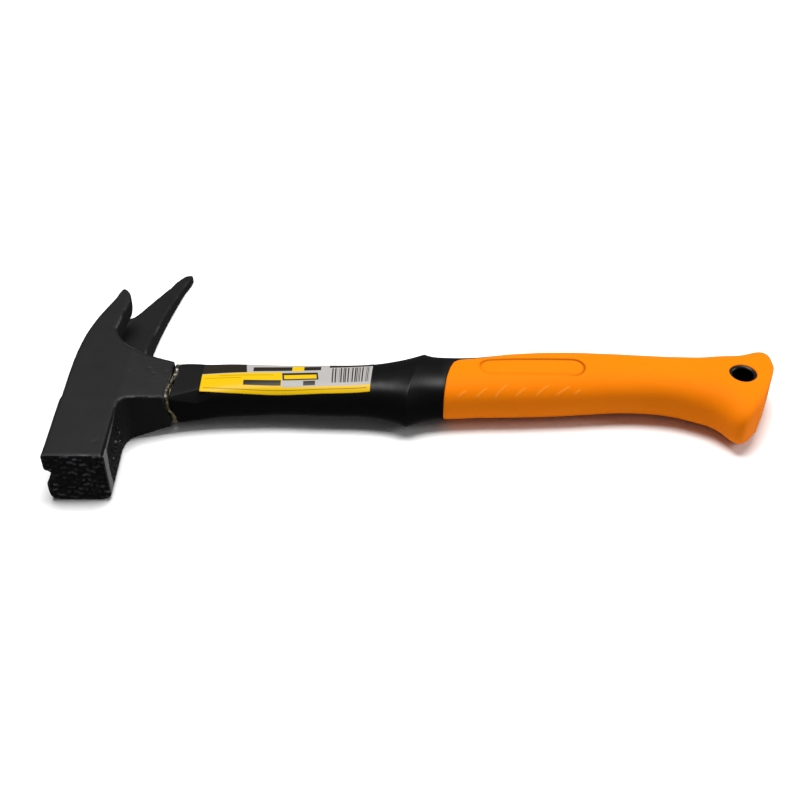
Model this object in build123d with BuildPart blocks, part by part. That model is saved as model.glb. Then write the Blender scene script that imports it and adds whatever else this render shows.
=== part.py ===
from build123d import *
import os
from math import atan2, copysign, cos, pi, radians, sin, tan

# A carpenter's hammer with a milled striking face, a nail groove and a split claw:
# a short tine on top of a long pick. It lies on its side, as it would on a bench.
#
# Frame, in millimetres: the hammer rests on Z = 0 and +Z is up through its thickness.
# +X runs from the strike axis along the handle to the butt.
# +Y runs from the striking face towards the claw. Y = 0 is the middle of the neck's line.

# --- driving sizes: the head --------------------------------------------------
HEAD_THICKNESS = 26.5          # cheek to cheek
POLL_WIDTH = 27.4              # crown side to handle side, at the striking face
FACE_REACH = 53.5              # neck's line to the striking face
NECK_END = 34.0                # strike axis to the end of the neck
NECK_FRONT = 9.3               # neck's line to the neck's front side, at its end
NECK_BACK = 17.3               # neck's line to the neck's back side, at its end
NECK_THICKNESS = 18.0          # at its end, tapered from the full thickness
TAPER_START = 14.0             # strike axis to where the neck starts to get thinner
TAPER_BACK = 24.0              # the taper stops here, short of the long tine
SHOULDER = 14.2                # neck's line to the corner between neck and poll
POLL_STEP = 0.6                # the cheek is this much narrower than the poll on the crown side
POLL_EDGE_RADIUS = 4.0
NECK_CORNER_RADIUS = 6.0       # inside corner between poll and neck
SHORT_TINE_REACH = 70.5        # neck's line to the short tine's tip
LONG_TINE_REACH = 115.0        # neck's line to the long tine's tip
LONG_TINE_THICKNESS = 8.6
SHORT_TINE_THICKNESS = 9.4
SLOT_ROOT_WIDTH = 3.0
SLOT_ROOT_REACH = 35.0
SLOT_OPEN_REACH = 60.0          # neck's line to where the slot reaches its full width
SLOT_BEVEL = 3.6               # extra opening on each side of the slot at the crown
LONG_TIP_THICKNESS = 3.6

# --- driving sizes: face, groove and magnet -----------------------------------
RIDGE_PITCH = 2.95
RIDGE_ROWS = 9
NOTCHES_IN_ROW = 7
RIDGE_DEPTH = 0.9
NOTCH_PITCH = 5.4
NOTCH_WIDTH = 1.2
GROOVE_RADIUS = 3.7
GROOVE_HEIGHT = 14.0           # middle of the nail groove above the rest plane
GROOVE_LENGTH = 33.0
MAGNET_RADIUS = 3.0
MAGNET_LENGTH = 3.2
MAGNET_FROM_FACE = 18.0

# --- driving sizes: the core, its eye and the resin ----------------------------
CORE_RADIUS = 5.8
CORE_INSET = 1.0               # the core stops short of the crown, under resin
CORE_TO_BUTT = 41.0            # the core ends this far short of the butt
CORE_CHAMFER = 1.0
EYE_CENTRE = 3.3               # the core's axis at the strike axis
RESIN_DEPTH_NECK = 1.9         # resin round the core, in the depth and in the thickness
RESIN_THICKNESS_NECK = 0.8
RESIN_DEPTH_CROWN = 3.7
RESIN_THICKNESS_CROWN = 2.7
EYE_CORNER = 4.5
EYE_OVERRUN = 2.0              # the eye's cutter runs on past the neck and the crown
BEAD_WIDTH = 1.8
BEAD_PROUD = 0.35
BEAD_CORNER = 3.0

# --- driving sizes: the handle -------------------------------------------------
GUARD_AT = 148.1               # strike axis to the guard's ridge
BUTT_AT = 311.0                # strike axis to the middle of the butt's end face
BUTT_EDGE_RADIUS = 3.0
JACKET_STEP = 0.6              # the jacket is this much thinner than the neck, each side
GRIP_WALL = 2.4
SEAM_AT = 160.8                # strike axis to the grip's front edge
TONGUE_LENGTH = 60.0           # black tongue of the jacket along the handle's back
HANG_HOLE_TO_BUTT = 10.8
HANG_HOLE_OFFSET = 3.6
HANG_HOLE_RADIUS = 4.8
EYELET_WALL = 1.7
EYELET_LENGTH = 25.0
LABEL_START = 15.0             # end of the neck to the label
LABEL_LENGTH = 79.0
LABEL_FRONT = -2.9
LABEL_BACK = 14.5
LABEL_THICKNESS = 0.3

# --- places worked out from the sizes above -------------------------------------
MIDDLE = HEAD_THICKNESS / 2
HALF_POLL = POLL_WIDTH / 2
CROWN = -HALF_POLL
SLOT_MIDDLE = (LONG_TINE_THICKNESS + HEAD_THICKNESS - SHORT_TINE_THICKNESS) / 2
JACKET_START = NECK_END + BEAD_WIDTH
CORE_END = BUTT_AT - CORE_TO_BUTT
EYE_ENDS = (
    (NECK_END + EYE_OVERRUN, RESIN_DEPTH_NECK, RESIN_THICKNESS_NECK),
    (CROWN - EYE_OVERRUN, RESIN_DEPTH_CROWN, RESIN_THICKNESS_CROWN),
)
HANG_HOLE_AT = BUTT_AT - HANG_HOLE_TO_BUTT
EYELET_RADIUS = HANG_HOLE_RADIUS + EYELET_WALL
WELL_CLEAR = 100.0             # long enough for a cutter to pass right through

# Handle sections: (share of the way, centre, half depth, half thickness, squareness, lean in
# degrees). The guard's ridge is where the two lists meet.
GUARD_SECTION = (5.8, 19.6, 13.0, 2.5, 15.6)
# From the neck to the guard's ridge.
FRONT_SECTIONS = [
    (0.000, 4.2, 12.9, NECK_THICKNESS / 2 - JACKET_STEP, 7.0, 0.0),
    (0.058, 5.2, 13.0, 8.6, 5.0, 0.0),
    (0.111, 5.7, 12.9, 8.9, 4.0, 0.0),
    (0.183, 5.9, 12.4, 9.1, 3.4, 0.0),
    (0.272, 5.9, 11.9, 9.3, 3.0, 0.0),
    (0.450, 5.7, 11.5, 9.5, 2.6, 0.0),
    (0.628, 5.5, 12.2, 9.8, 2.5, 0.0),
    (0.806, 5.6, 13.1, 10.6, 2.5, 4.0),
    (0.895, 5.8, 15.2, 11.5, 2.5, 9.0),
    (0.948, 6.0, 17.2, 12.3, 2.5, 13.0),
    (1.000, *GUARD_SECTION),
]
# From the guard's ridge to the butt.
REAR_SECTIONS = [
    (0.000, *GUARD_SECTION),
    (0.032, 7.1, 17.9, 12.6, 2.5, 12.0),
    (0.075, 7.8, 16.3, 12.1, 2.5, 8.0),
    (0.124, 7.9, 15.4, 11.9, 2.5, 4.0),
    (0.185, 8.4, 15.3, 11.9, 2.5, 0.0),
    (0.265, 9.5, 16.1, 12.3, 2.5, 0.0),
    (0.345, 10.3, 16.4, 12.5, 2.5, 0.0),
    (0.431, 10.9, 16.2, 12.5, 2.5, 0.0),
    (0.517, 11.3, 15.4, 12.2, 2.5, 0.0),
    (0.603, 11.2, 14.5, 12.0, 2.5, 0.0),
    (0.689, 10.2, 14.3, 12.0, 2.5, 2.0),
    (0.762, 8.6, 15.1, 12.3, 2.5, 7.0),
    (0.824, 6.8, 17.1, 12.7, 2.5, 12.0),
    (0.879, 5.3, 20.1, 13.0, 2.5, 17.0),
    (0.922, 2.9, 23.8, 13.1, 2.6, 21.0),
    (0.960, 0.8, 26.8, 13.0, 2.8, 23.0),
    (1.000, -0.5, 20.6, 7.6, 2.8, 22.0),
]
POINTS_ROUND = 32


os.makedirs("parts", exist_ok=True)


def finish(builder, label):
    """Name a finished piece and write its STEP file."""
    builder.part.label = label
    export_step(builder.part, f"parts/{label}.step")


def section_plane(x, centre, lean):
    """A plane across the handle. Its x axis follows the depth, leant towards the butt at the back."""
    turn = radians(lean)
    return Plane(
        origin=(x, centre, MIDDLE),
        x_dir=(sin(turn), cos(turn), 0),
        z_dir=(cos(turn), -sin(turn), 0),
    )


def superellipse(half_depth, half_thickness, squareness):
    """Points round a superellipse: |x/a|^n + |y/b|^n = 1, where n = 2 is a plain ellipse."""
    points = []
    for step in range(POINTS_ROUND):
        angle = 2 * pi * (step + 0.5) / POINTS_ROUND
        x = copysign(abs(cos(angle)) ** (2 / squareness), cos(angle))
        y = copysign(abs(sin(angle)) ** (2 / squareness), sin(angle))
        points.append((half_depth * x, half_thickness * y))
    return points


def handle_loft(sections, start, end, grow=0.0, end_trim=0.0):
    """Loft through the sections, each grown outwards, with the last one moved back by end_trim."""
    with BuildPart() as body:
        for share, centre, half_depth, half_thickness, squareness, lean in sections:
            x = start + share * (end - start)
            if share == 1.0:
                x = x - end_trim
            with BuildSketch(section_plane(x, centre, lean)):
                with BuildLine():
                    outline = superellipse(half_depth + grow, half_thickness + grow, squareness)
                    Spline(*outline, periodic=True)
                make_face()
        loft()
    return body


# --- the handle's outer shape, shared by jacket, grip and label -------------------
front_body = handle_loft(FRONT_SECTIONS, JACKET_START, GUARD_AT)
rear_body = handle_loft(REAR_SECTIONS, GUARD_AT, BUTT_AT)
sleeve_body = handle_loft(REAR_SECTIONS, GUARD_AT, BUTT_AT, grow=-GRIP_WALL, end_trim=2 * GRIP_WALL)
label_body = handle_loft(FRONT_SECTIONS, JACKET_START, GUARD_AT, grow=LABEL_THICKNESS)

with BuildPart() as handle_rear:
    add(rear_body.part)
    butt_face = handle_rear.faces().sort_by(Axis.X)[-1]
    fillet(butt_face.edges(), BUTT_EDGE_RADIUS)


def rear_centre(x):
    """Middle of the handle's depth at x, between the two nearest rear sections."""
    share = (x - GUARD_AT) / (BUTT_AT - GUARD_AT)
    for before, after in zip(REAR_SECTIONS, REAR_SECTIONS[1:]):
        if before[0] <= share <= after[0]:
            part_way = (share - before[0]) / (after[0] - before[0])
            return before[1] + part_way * (after[1] - before[1])
    return REAR_SECTIONS[-1][1]


# --- core: a straight rod from the crown into the grip ------------------------------
CORE_RAKE = atan2(rear_centre(CORE_END) - EYE_CENTRE, CORE_END)


def core_plane(x):
    """A plane across the core's axis at x. Its x axis follows the handle's depth."""
    return Plane(
        origin=(x, EYE_CENTRE + x * tan(CORE_RAKE), MIDDLE),
        x_dir=(-sin(CORE_RAKE), cos(CORE_RAKE), 0),
        z_dir=(cos(CORE_RAKE), sin(CORE_RAKE), 0),
    )


with BuildPart() as core:
    with BuildSketch(core_plane(CROWN + CORE_INSET)):
        Circle(CORE_RADIUS)
    extrude(amount=(CORE_END - CROWN - CORE_INSET) / cos(CORE_RAKE))
    chamfer(core.faces().sort_by(Axis.X)[-1].edges(), CORE_CHAMFER)
finish(core, "fibreglass_core")


# --- hammer head ----------------------------------------------------------------------
CROWN_FOOT = (CROWN + POLL_STEP, -SHOULDER + 2 * POLL_STEP)
SHORT_TIP = (1.1, SHORT_TINE_REACH)
LONG_TIP_CROWN_SIDE = (24.4, LONG_TINE_REACH - 1.5)
LONG_TIP_HANDLE_SIDE = (26.8, LONG_TINE_REACH)
CLAW_ROOT = (6.0, 31.5)
LONG_TINE_END = (17.2, 14.0)
CLAW_HOLLOW = (20.0, 19.8)
CROWN_SLOPE = (0.4, 1)
HOLLOW_SLOPE = (1, -0.35)


def body_edge():
    """Neck, poll, short tine and claw: the outline of the head apart from its long tine."""
    Line((NECK_END, NECK_BACK), (NECK_END, -NECK_FRONT))
    FilletPolyline(
        (NECK_END, -NECK_FRONT),
        (HALF_POLL - POLL_STEP, -SHOULDER),
        (HALF_POLL, -FACE_REACH),
        radius=NECK_CORNER_RADIUS,
    )
    Line((HALF_POLL, -FACE_REACH), (CROWN, -FACE_REACH))
    Line((CROWN, -FACE_REACH), (CROWN, -SHOULDER))
    Line((CROWN, -SHOULDER), CROWN_FOOT)
    Spline(CROWN_FOOT, (-8.9, 43.2), SHORT_TIP, tangents=((0, 1), CROWN_SLOPE))
    Spline(
        SHORT_TIP,
        (6.1, 60.5),
        (4.5, 51.0),
        (3.7, 42.0),
        CLAW_ROOT,
        tangents=((0.8, -0.6), (0.5, -0.85)),
    )
    Spline(CLAW_ROOT, CLAW_HOLLOW, tangents=((0.5, -0.85), HOLLOW_SLOPE))
    Spline(CLAW_HOLLOW, (NECK_END, NECK_BACK), tangents=(HOLLOW_SLOPE, (1, -0.12)))


def long_tine_edge():
    """The long tine: out from the short tine's tip to its own blunt tip, and back inside the head."""
    Spline(SHORT_TIP, (9.6, 88.0), LONG_TIP_CROWN_SIDE, tangents=(CROWN_SLOPE, (0.62, 0.78)))
    Line(LONG_TIP_CROWN_SIDE, LONG_TIP_HANDLE_SIDE)
    Spline(
        LONG_TIP_HANDLE_SIDE,
        (22.6, 92.0),
        (18.2, 68.0),
        (15.6, 30.0),
        LONG_TINE_END,
        tangents=((-0.12, -1), (0.1, -1)),
    )
    Polyline(LONG_TINE_END, (0, SLOT_ROOT_REACH), SHORT_TIP)


def slot_outline(spread):
    """The slot between the tines, seen along X: a narrow root that opens towards the tips."""
    root_low = SLOT_MIDDLE - SLOT_ROOT_WIDTH / 2
    root_high = SLOT_MIDDLE + SLOT_ROOT_WIDTH / 2
    low = LONG_TINE_THICKNESS - spread / 2
    high = HEAD_THICKNESS - SHORT_TINE_THICKNESS + spread / 2
    Polyline(
        (SLOT_ROOT_REACH, root_low),
        (SLOT_OPEN_REACH, low),
        (SHORT_TINE_REACH + 8, LONG_TINE_THICKNESS - 0.8 - spread),
        (LONG_TINE_REACH + 1, LONG_TIP_THICKNESS),
        (LONG_TINE_REACH + 1, HEAD_THICKNESS + 1),
        (SHORT_TINE_REACH + 8, HEAD_THICKNESS + 1),
        (SLOT_OPEN_REACH, high),
        (SLOT_ROOT_REACH, root_high),
        close=True,
    )


magnet_plane = Plane(
    origin=(CROWN, MAGNET_FROM_FACE - FACE_REACH, GROOVE_HEIGHT), x_dir=(0, 1, 0), z_dir=(1, 0, 0)
)

with BuildPart() as head:
    with BuildSketch(Plane.XY):
        with BuildLine():
            body_edge()
        make_face()
    extrude(amount=HEAD_THICKNESS)
    with BuildSketch(Plane.XY):
        with BuildLine():
            long_tine_edge()
        make_face()
    extrude(amount=SLOT_MIDDLE)

    # the slot is wider at the crown side than at the handle side, like a countersink
    with BuildSketch(Plane.YZ.offset(CROWN - 1)):
        with BuildLine():
            slot_outline(SLOT_BEVEL)
        make_face()
    with BuildSketch(Plane.YZ.offset(NECK_END)):
        with BuildLine():
            slot_outline(0)
        make_face()
    loft(ruled=True, mode=Mode.SUBTRACT)

    # the neck gets thinner towards its end, on both cheeks
    with BuildSketch(Plane.XZ.offset(-TAPER_BACK)):
        for side in (1, -1):
            with BuildLine():
                Polyline(
                    (TAPER_START, MIDDLE + side * MIDDLE),
                    (NECK_END + 1, MIDDLE + side * NECK_THICKNESS / 2),
                    (NECK_END + 1, MIDDLE + side * (MIDDLE + 1)),
                    (TAPER_START, MIDDLE + side * (MIDDLE + 1)),
                    close=True,
                )
            make_face()
    extrude(amount=TAPER_BACK + FACE_REACH - 1, mode=Mode.SUBTRACT)

    # rounded lower edges of the poll, cut along it from the face
    for side in (1, -1):
        with BuildSketch(Plane.XZ.offset(FACE_REACH + 1)):
            with Locations((side * HALF_POLL, 0)):
                Rectangle(2 * POLL_EDGE_RADIUS, 2 * POLL_EDGE_RADIUS)
            with Locations((side * (HALF_POLL - POLL_EDGE_RADIUS), POLL_EDGE_RADIUS)):
                Circle(POLL_EDGE_RADIUS, mode=Mode.SUBTRACT)
        extrude(amount=-(FACE_REACH + 1 - SHOULDER - NECK_CORNER_RADIUS), mode=Mode.SUBTRACT)

    # milled face: ridges across the face, each cut into short teeth that are staggered row by row
    with BuildSketch(Plane.YZ.offset(CROWN - 1)):
        with Locations(*[(-FACE_REACH, RIDGE_PITCH * row) for row in range(1, RIDGE_ROWS)]):
            Rectangle(2 * RIDGE_DEPTH, 2 * RIDGE_DEPTH, rotation=45)
    extrude(amount=POLL_WIDTH + 2, mode=Mode.SUBTRACT)
    with BuildSketch(Plane.XZ.offset(FACE_REACH + 1)):
        for row in range(RIDGE_ROWS):
            shift = NOTCH_PITCH / 2 * (row % 2)
            with Locations((shift, RIDGE_PITCH * (row + 0.5))):
                with GridLocations(NOTCH_PITCH, 1, NOTCHES_IN_ROW, 1):
                    Rectangle(NOTCH_WIDTH, RIDGE_PITCH)
    extrude(amount=-RIDGE_DEPTH - 1, mode=Mode.SUBTRACT)

    # nail groove along the crown side, with a pocket for its magnet
    with BuildSketch(Plane.XZ.offset(FACE_REACH + 1)):
        with Locations((CROWN, GROOVE_HEIGHT)):
            Circle(GROOVE_RADIUS)
    extrude(amount=-GROOVE_LENGTH - 1, mode=Mode.SUBTRACT)
    with BuildSketch(magnet_plane):
        Circle(MAGNET_RADIUS)
    extrude(amount=GROOVE_RADIUS + MAGNET_LENGTH, mode=Mode.SUBTRACT)

    # tapered eye from the neck through to the crown
    for x, depth_wall, thickness_wall in EYE_ENDS:
        with BuildSketch(core_plane(x)):
            RectangleRounded(
                2 * (CORE_RADIUS + depth_wall), 2 * (CORE_RADIUS + thickness_wall), EYE_CORNER
            )
    loft(mode=Mode.SUBTRACT)
finish(head, "hammer_head")


# --- magnet in the nail groove -----------------------------------------------------------
with BuildPart() as magnet:
    with BuildSketch(magnet_plane.offset(GROOVE_RADIUS)):
        Circle(MAGNET_RADIUS)
    extrude(amount=MAGNET_LENGTH)
finish(magnet, "nail_magnet")


# --- resin that fills the eye round the core ------------------------------------------------
with BuildPart() as resin:
    for x, depth_wall, thickness_wall in EYE_ENDS:
        with BuildSketch(core_plane(x)):
            RectangleRounded(
                2 * (CORE_RADIUS + depth_wall), 2 * (CORE_RADIUS + thickness_wall), EYE_CORNER
            )
    loft()
    split(bisect_by=Plane.YZ.offset(NECK_END), keep=Keep.BOTTOM)
    split(bisect_by=Plane.YZ.offset(CROWN + POLL_STEP), keep=Keep.TOP)
    add(core.part, mode=Mode.SUBTRACT)
finish(resin, "eye_resin")


# --- bead of resin squeezed out between neck and jacket ---------------------------------------
with BuildPart() as bead:
    with BuildSketch(Plane.YZ.offset(NECK_END)):
        with Locations(((NECK_BACK - NECK_FRONT) / 2, MIDDLE)):
            RectangleRounded(
                NECK_BACK + NECK_FRONT + 2 * BEAD_PROUD,
                NECK_THICKNESS + 2 * BEAD_PROUD,
                BEAD_CORNER,
            )
    extrude(amount=BEAD_WIDTH)
    add(core.part, mode=Mode.SUBTRACT)
finish(bead, "joint_bead")


# --- grip, jacket and eyelet --------------------------------------------------------------------
def grip_zone():
    """What lies behind the grip's front edge, with the jacket's tongue left out along the back."""
    front_edge = Spline(
        (SEAM_AT, -WELL_CLEAR),
        (SEAM_AT, -20.0),
        (SEAM_AT + 1.6, 0.0),
        (SEAM_AT + 5.0, 13.0),
        (SEAM_AT + 9.4, 17.2),
        tangents=((0, 1), (1, 0.25)),
    )
    Polyline(
        front_edge @ 1,
        (SEAM_AT + TONGUE_LENGTH, 27.5),
        (SEAM_AT + TONGUE_LENGTH, WELL_CLEAR),
        (BUTT_AT + WELL_CLEAR, WELL_CLEAR),
        (BUTT_AT + WELL_CLEAR, -WELL_CLEAR),
        front_edge @ 0,
    )


with BuildPart() as grip_block:
    with BuildSketch(Plane.XY.offset(-WELL_CLEAR)):
        with BuildLine():
            grip_zone()
        make_face()
    extrude(amount=2 * WELL_CLEAR)

with BuildPart() as eyelet_plug:
    with BuildSketch(Plane.XY.offset(-WELL_CLEAR)):
        with Locations((HANG_HOLE_AT, HANG_HOLE_OFFSET)):
            Circle(EYELET_RADIUS)
    extrude(amount=2 * WELL_CLEAR)

with BuildPart() as grip:
    add(handle_rear.part)
    add(grip_block.part, mode=Mode.INTERSECT)
    add(sleeve_body.part, mode=Mode.SUBTRACT)
    add(eyelet_plug.part, mode=Mode.SUBTRACT)
finish(grip, "grip")

with BuildPart() as jacket:
    add(handle_rear.part)
    add(grip_block.part, mode=Mode.SUBTRACT)
    add(sleeve_body.part)
    add(front_body.part)
    add(core.part, mode=Mode.SUBTRACT)
    add(eyelet_plug.part, mode=Mode.SUBTRACT)
finish(jacket, "handle_jacket")

with BuildPart() as eyelet:
    with BuildSketch(Plane.XY.offset(MIDDLE - EYELET_LENGTH / 2)):
        with Locations((HANG_HOLE_AT, HANG_HOLE_OFFSET)):
            Circle(EYELET_RADIUS)
            Circle(HANG_HOLE_RADIUS, mode=Mode.SUBTRACT)
    extrude(amount=EYELET_LENGTH)
finish(eyelet, "hang_eyelet")


# --- label: a thin film laid over the jacket's upper side ----------------------------------------
with BuildPart() as label:
    add(label_body.part)
    with BuildSketch(Plane.XY.offset(MIDDLE)):
        with Locations((NECK_END + LABEL_START + LABEL_LENGTH / 2, (LABEL_FRONT + LABEL_BACK) / 2)):
            Rectangle(LABEL_LENGTH, LABEL_BACK - LABEL_FRONT)
    extrude(amount=WELL_CLEAR, mode=Mode.INTERSECT)
    add(front_body.part, mode=Mode.SUBTRACT)
finish(label, "label")
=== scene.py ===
# %% [markdown]
# # A roofing hammer, lying on its side
# The hammer has a forged head with a milled striking face and a split claw, a black jacket
# moulded over a glass fibre rod, and a soft orange grip. The measured frame is loaded first.
# Every piece made below is placed from it, in metres, and rides on its one body: a hammer has
# nothing that moves.

# %% Load the frame
import bmesh
import bpy
import numpy as np
from math import pi, radians
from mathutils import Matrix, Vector


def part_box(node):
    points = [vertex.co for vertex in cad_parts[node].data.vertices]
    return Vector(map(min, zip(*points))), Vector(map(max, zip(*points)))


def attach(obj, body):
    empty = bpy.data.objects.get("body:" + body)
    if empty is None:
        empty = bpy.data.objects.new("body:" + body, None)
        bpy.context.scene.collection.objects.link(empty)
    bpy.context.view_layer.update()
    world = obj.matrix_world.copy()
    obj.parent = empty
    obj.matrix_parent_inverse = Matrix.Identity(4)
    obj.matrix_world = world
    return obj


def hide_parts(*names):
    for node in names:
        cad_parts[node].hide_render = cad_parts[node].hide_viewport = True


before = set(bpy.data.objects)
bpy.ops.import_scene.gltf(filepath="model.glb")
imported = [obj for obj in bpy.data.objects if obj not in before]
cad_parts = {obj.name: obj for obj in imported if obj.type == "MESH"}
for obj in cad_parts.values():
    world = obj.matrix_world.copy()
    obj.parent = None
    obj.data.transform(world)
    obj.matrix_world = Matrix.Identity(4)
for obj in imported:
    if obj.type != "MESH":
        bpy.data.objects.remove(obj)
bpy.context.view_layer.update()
MM = 0.001
head_low, head_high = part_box("hammer_head")
eyelet_low, eyelet_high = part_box("hang_eyelet")
MIDDLE = (head_low.z + head_high.z) / 2 / MM

# %% [markdown]
# ## Writing a surface as whole arrays
# Most pieces here are skins over a grid: one parameter runs along the handle, the other goes
# round it. They could be extruded and pushed about by hand, but a formula is easier to correct.
# Numpy works out all points at once, and one helper turns the grid into a closed mesh. A grid that
# closes round on itself needs only its two ends shut, with a fan of triangles to a centre point.
# A ring shuts on itself instead: its last row is joined to its first.

# %% Grid to mesh
def new_piece(name, points, faces):
    """A smooth mesh object at the origin, from points in millimetres and a list of faces."""
    mesh = bpy.data.meshes.new(name)
    mesh.from_pydata(np.asarray(points, float) * MM, [], faces)
    mesh.validate()
    mesh.shade_smooth()
    piece = bpy.data.objects.new(name, mesh)
    bpy.context.scene.collection.objects.link(piece)
    return piece


def tube(name, rows, fans=True):
    """Closed skin over rows (n, m, 3): quads between rows and round the loop.

    Its ends are shut with a fan each, or else the last row is joined to the first.
    """
    n, m, _ = rows.shape
    points = rows.reshape(-1, 3)
    index = np.arange(n * m).reshape(n, m)
    a, b = index[:-1], index[1:]
    quads = np.stack([a, np.roll(a, -1, 1), np.roll(b, -1, 1), b], -1).reshape(-1, 4)
    faces = quads.tolist()
    first, last = index[0], index[-1]
    if fans:
        points = np.vstack([points, rows[0].mean(0), rows[-1].mean(0)])
        faces += np.stack([np.roll(first, -1), first, np.full(m, n * m)], -1).tolist()
        faces += np.stack([last, np.roll(last, -1), np.full(m, n * m + 1)], -1).tolist()
    else:
        faces += np.stack([last, np.roll(last, -1), np.roll(first, -1), first], -1).tolist()
    piece = new_piece(name, points, faces)
    print(name, len(faces), "faces")
    return piece


def smoothstep(low, high, x):
    """0 below low, 1 above high, and 3t^2 - 2t^3 between them."""
    t = np.clip((x - low) / (high - low), 0, 1)
    return t * t * (3 - 2 * t)


def bump_at(x, centre, width):
    """A bell of height 1 at centre: exp(-(distance / width)^2)."""
    return np.exp(-(((x - centre) / width) ** 2))


print("half way a step is", smoothstep(0, 1, 0.5))

# %% [markdown]
# ## Small random unevenness
# A forged or moulded surface is never quite even. A Displace modifier could roughen it, but here
# the same noise shapes several pieces in different ways. Adding a few dozen sine waves in random
# directions gives a smooth noise with a known grain, and a fixed seed gives the same one each run.

# %% Noise from waves
def waves(points, grain, seed, count=24):
    """Sum of sines, sin(k . p + phase), over random directions k as long as 2 pi / grain."""
    random = np.random.default_rng(seed)
    direction = random.normal(size=(count, 3))
    direction /= np.linalg.norm(direction, axis=1)[:, None]
    length = 2 * pi / (grain * random.uniform(0.7, 1.4, count))
    phase = random.uniform(0, 2 * pi, count)
    total = np.zeros(points.shape[:-1])
    for k, start in zip(direction * length[:, None], phase):
        total += np.sin(points @ k + start)
    return total / np.sqrt(count)


print("waves at the origin add up to", waves(np.zeros(3), 10.0, 1).round(2))

# %% [markdown]
# ## The handle's skin
# Jacket, grip and label share one outer shape, slim behind the head, swollen in the palm and flared
# at the butt. A subdivided box could be pulled to it, but three pieces would each have to match.
# Here it is a row of superellipses, |x/a|^n + |y/b|^n = 1, threaded along the handle. A natural
# cubic spline runs through each size from station to station, so the skin flows. The guard is a
# sharp ring, so the handle is two splines that meet there.

# %% Stations along the handle
HANDLE_START, GUARD, BUTT = 35.8, 148.1, 311.0
OFF_THE_TABLE = 0.1
GUARD_RING = (6.3, 20.2, 13.1, 2.5, 15.6)
# each row: share of the way, centre, half depth, half thickness, squareness n, lean in degrees
FRONT = np.array([
    (0.000, 4.2, 12.9, 8.4, 9.0, 0.0),
    (0.058, 5.0, 12.8, 8.5, 7.5, 0.0),
    (0.111, 5.3, 12.4, 8.7, 5.6, 0.0),
    (0.183, 6.0, 12.4, 9.1, 4.0, 0.0),
    (0.272, 6.4, 12.4, 9.6, 3.2, 0.0),
    (0.450, 6.2, 12.0, 9.8, 2.6, 0.0),
    (0.628, 5.8, 12.5, 10.0, 2.5, 0.0),
    (0.806, 5.6, 13.1, 10.6, 2.5, 4.0),
    (0.895, 5.8, 15.2, 11.5, 2.5, 9.0),
    (0.948, 6.0, 17.2, 12.3, 2.5, 13.0),
    (1.000, *GUARD_RING),
])
REAR = np.array([
    (0.000, *GUARD_RING),
    (0.032, 7.1, 17.4, 12.5, 2.5, 12.0),
    (0.075, 7.7, 16.0, 12.0, 2.5, 8.0),
    (0.124, 7.9, 15.4, 11.9, 2.5, 4.0),
    (0.185, 8.4, 15.3, 11.9, 2.5, 0.0),
    (0.265, 9.5, 16.1, 12.3, 2.5, 0.0),
    (0.345, 10.3, 16.4, 12.5, 2.5, 0.0),
    (0.431, 10.9, 16.2, 12.5, 2.5, 0.0),
    (0.517, 11.3, 15.4, 12.2, 2.5, 0.0),
    (0.603, 11.2, 14.5, 12.0, 2.5, 0.0),
    (0.689, 10.2, 14.3, 12.0, 2.5, 2.0),
    (0.762, 8.6, 15.1, 12.3, 2.5, 7.0),
    (0.824, 6.8, 17.1, 12.7, 2.5, 12.0),
    (0.879, 5.4, 20.2, 13.0, 2.5, 17.0),
    (0.922, 3.3, 24.2, 13.1, 2.6, 21.0),
    (0.958, 1.9, 27.8, 13.0, 2.9, 23.0),
    (0.982, -0.1, 25.3, 12.9, 3.0, 22.8),
    (1.000, 0.0, 18.7, 11.6, 3.0, 22.0),
])
print(len(FRONT), "stations before the guard and", len(REAR), "behind it")


# %% Sizes between the stations
def spline(stations, values, at):
    """Natural cubic spline: cubics through the values, alike in slope and bend at each station."""
    gap = np.diff(stations)
    bend_sum = np.diag(np.r_[1, 2 * (gap[:-1] + gap[1:]), 1])
    bend_sum += np.diag(np.r_[gap[:-1], 0], -1) + np.diag(np.r_[0, gap[1:]], 1)
    slope = np.diff(values, axis=0) / gap[:, None]
    no_bend = np.zeros((1, values.shape[1]))
    right = np.vstack([no_bend, 6 * np.diff(slope, axis=0), no_bend])
    bend = np.linalg.solve(bend_sum, right)
    k = np.clip(np.searchsorted(stations, at, side="right") - 1, 0, len(gap) - 1)
    t, h = (at - stations[k])[..., None], gap[k][..., None]
    start = slope[k] - h * (2 * bend[k] + bend[k + 1]) / 6
    return values[k] + start * t + bend[k] / 2 * t**2 + (bend[k + 1] - bend[k]) / (6 * h) * t**3


def sizes_at(s):
    """Centre, half depth, half thickness, squareness and lean where the handle's parameter is s."""
    before = spline(HANDLE_START + FRONT[:, 0] * (GUARD - HANDLE_START), FRONT[:, 1:], s)
    after = spline(GUARD + REAR[:, 0] * (BUTT - GUARD), REAR[:, 1:], s)
    sizes = np.where((s <= GUARD)[..., None], before, after)
    sizes[..., 2] = np.minimum(sizes[..., 2], MIDDLE - OFF_THE_TABLE)
    return sizes


widest = sizes_at(np.array([GUARD]))[0]
print("at the guard the handle is", 2 * widest[1], "mm deep and", 2 * widest[2], "mm thick")

# %% The skin
END_BULGE, BULGE_START, BULGE_SKEW = 1.0, BUTT - 16, 0.9


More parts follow.
